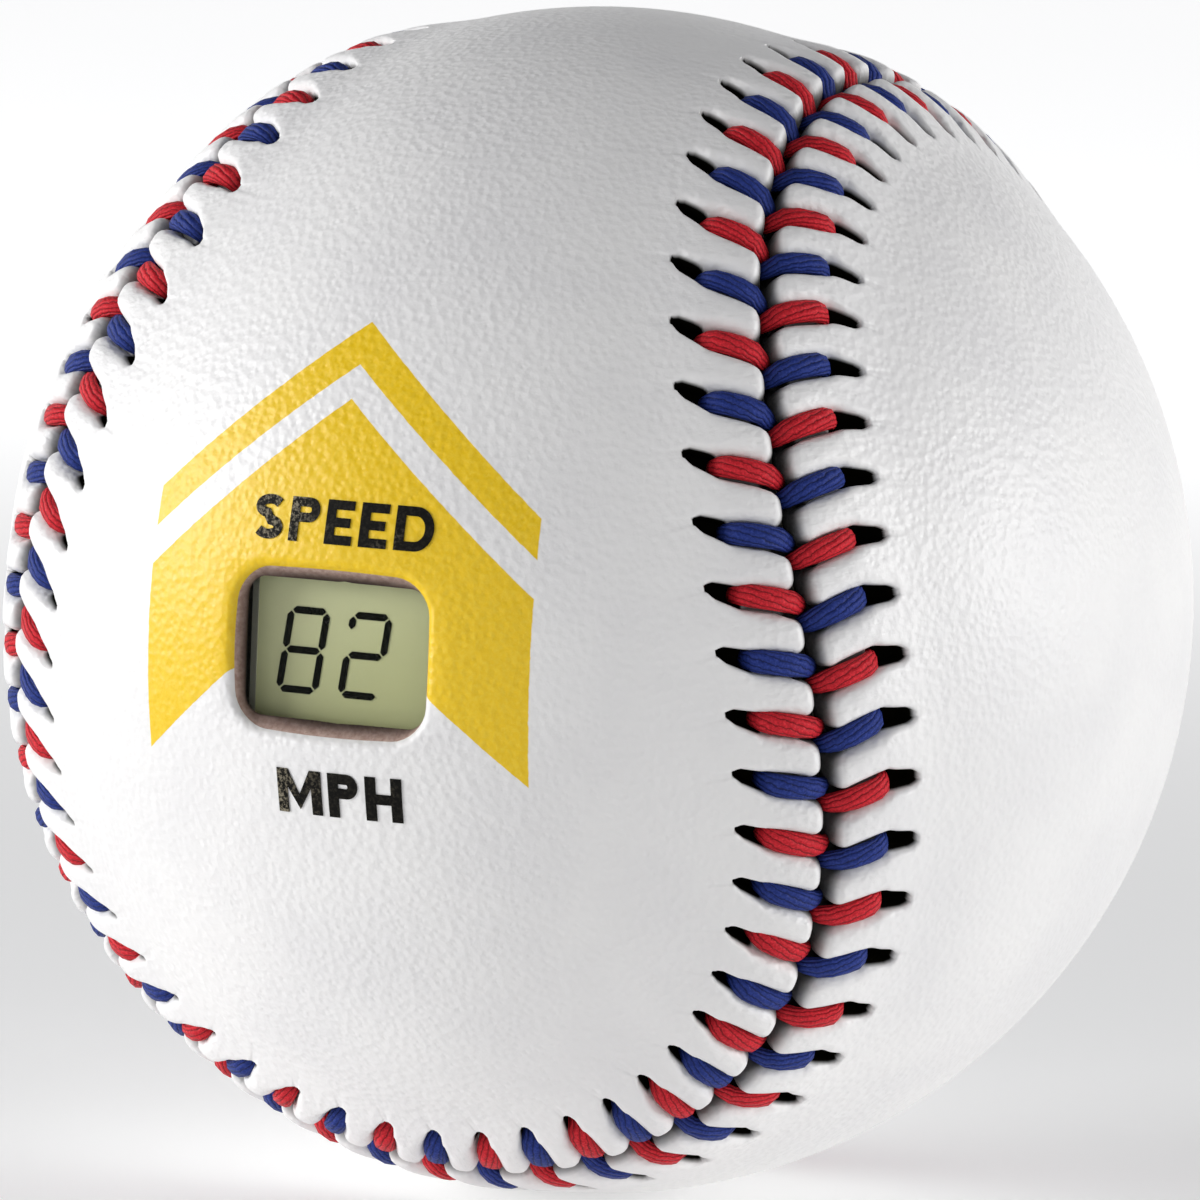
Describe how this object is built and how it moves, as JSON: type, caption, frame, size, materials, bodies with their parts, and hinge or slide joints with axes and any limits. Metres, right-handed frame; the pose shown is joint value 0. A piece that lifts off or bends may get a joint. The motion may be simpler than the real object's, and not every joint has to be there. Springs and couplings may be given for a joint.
{
  "type": "speed-sensing practice baseball",
  "caption": "Stitched leather baseball with a small digital speed display set in a window, and the sensor module, battery and inertia switches inside it.",
  "frame": {"origin": "centre of the ball", "axes": "-Y out through the middle of the display window, +Z towards the top of the display's digits, +X to the right of the display as it is read"},
  "size_m": [0.0738, 0.0735, 0.0738],
  "materials": {
    "leather": "coated cowhide, fine pebble grain, soft gloss",
    "red_thread": "waxed twisted thread",
    "blue_thread": "waxed twisted thread",
    "yarn": "wound wool and cotton yarn",
    "core_rubber": "moulded cushion core, matte",
    "pad_foam": "closed-cell foam, matte",
    "case_plastic": "moulded, satin",
    "screw_steel": "zinc plated",
    "lens_acrylic": "clear, polished",
    "gasket_rubber": "matte",
    "polariser_film": "grey-green film",
    "display_glass": "clear, polished",
    "segment_ink": "dark lit segments",
    "seal_epoxy": "cured epoxy",
    "reflector_film": "grey-green reflective film",
    "strip_rubber": "striped conductive elastomer",
    "board_laminate": "glass-epoxy laminate with solder mask",
    "chip_moulding": "moulded epoxy, fine matte",
    "can_steel": "nickel plated, satin",
    "capacitor_ceramic": "fired ceramic",
    "resistor_ceramic": "glazed ceramic",
    "contact_metal": "gold flashed",
    "tube_brass": "drawn brass, satin",
    "weight_steel": "turned, polished",
    "spring_steel": "drawn wire"
  },
  "bodies": {
    "ball": {"cover_panel_display": "leather", "cover_panel_plain": "leather", "stitches_red": "red_thread", "stitches_blue": "blue_thread", "winding_layer": "yarn", "core_front": "core_rubber", "core_rear": "core_rubber", "shock_pad_rear": "pad_foam", "shock_pad_sides": "pad_foam", "case_front": "case_plastic", "case_rear": "case_plastic", "case_screws": "screw_steel", "lens_window": "lens_acrylic", "lens_gasket": "gasket_rubber", "lcd_polariser": "polariser_film", "lcd_front_glass": "display_glass", "lcd_segments": "segment_ink", "lcd_seal": "seal_epoxy", "lcd_rear_glass": "display_glass", "lcd_reflector": "reflector_film", "zebra_strip_upper": "strip_rubber", "zebra_strip_lower": "strip_rubber", "circuit_board": "board_laminate", "sensor_board": "board_laminate", "controller_chip": "chip_moulding", "timing_crystal": "can_steel", "chip_capacitors": "capacitor_ceramic", "chip_resistors": "resistor_ceramic", "coin_cell": "can_steel", "battery_clip": "contact_metal", "battery_contact": "contact_metal", "board_link_pins": "contact_metal", "switch_x_tube": "tube_brass", "switch_x_contacts": "contact_metal", "switch_x_spring_a": "spring_steel", "switch_x_spring_b": "spring_steel", "switch_y_tube": "tube_brass", "switch_y_contacts": "contact_metal", "switch_y_spring_a": "spring_steel", "switch_y_spring_b": "spring_steel", "switch_z_tube": "tube_brass", "switch_z_contacts": "contact_metal", "switch_z_spring_a": "spring_steel", "switch_z_spring_b": "spring_steel"},
    "weight_x": {"switch_x_weight": "weight_steel"},
    "weight_y": {"switch_y_weight": "weight_steel"},
    "weight_z": {"switch_z_weight": "weight_steel"}
  },
  "joints": [
    {"name": "switch_x_slide", "type": "slide", "parent": "ball", "child": "weight_x", "axis": [1, 0, 0], "range_m": [-0.00095, 0.00095], "stiffness_N_per_m": 14, "deforming": ["switch_x_spring_a", "switch_x_spring_b"]},
    {"name": "switch_y_slide", "type": "slide", "parent": "ball", "child": "weight_y", "axis": [0, 1, 0], "range_m": [-0.00095, 0.00095], "stiffness_N_per_m": 14, "deforming": ["switch_y_spring_a", "switch_y_spring_b"]},
    {"name": "switch_z_slide", "type": "slide", "parent": "ball", "child": "weight_z", "axis": [0, 0, 1], "range_m": [-0.00095, 0.00095], "stiffness_N_per_m": 14, "deforming": ["switch_z_spring_a", "switch_z_spring_b"]}
  ]
}
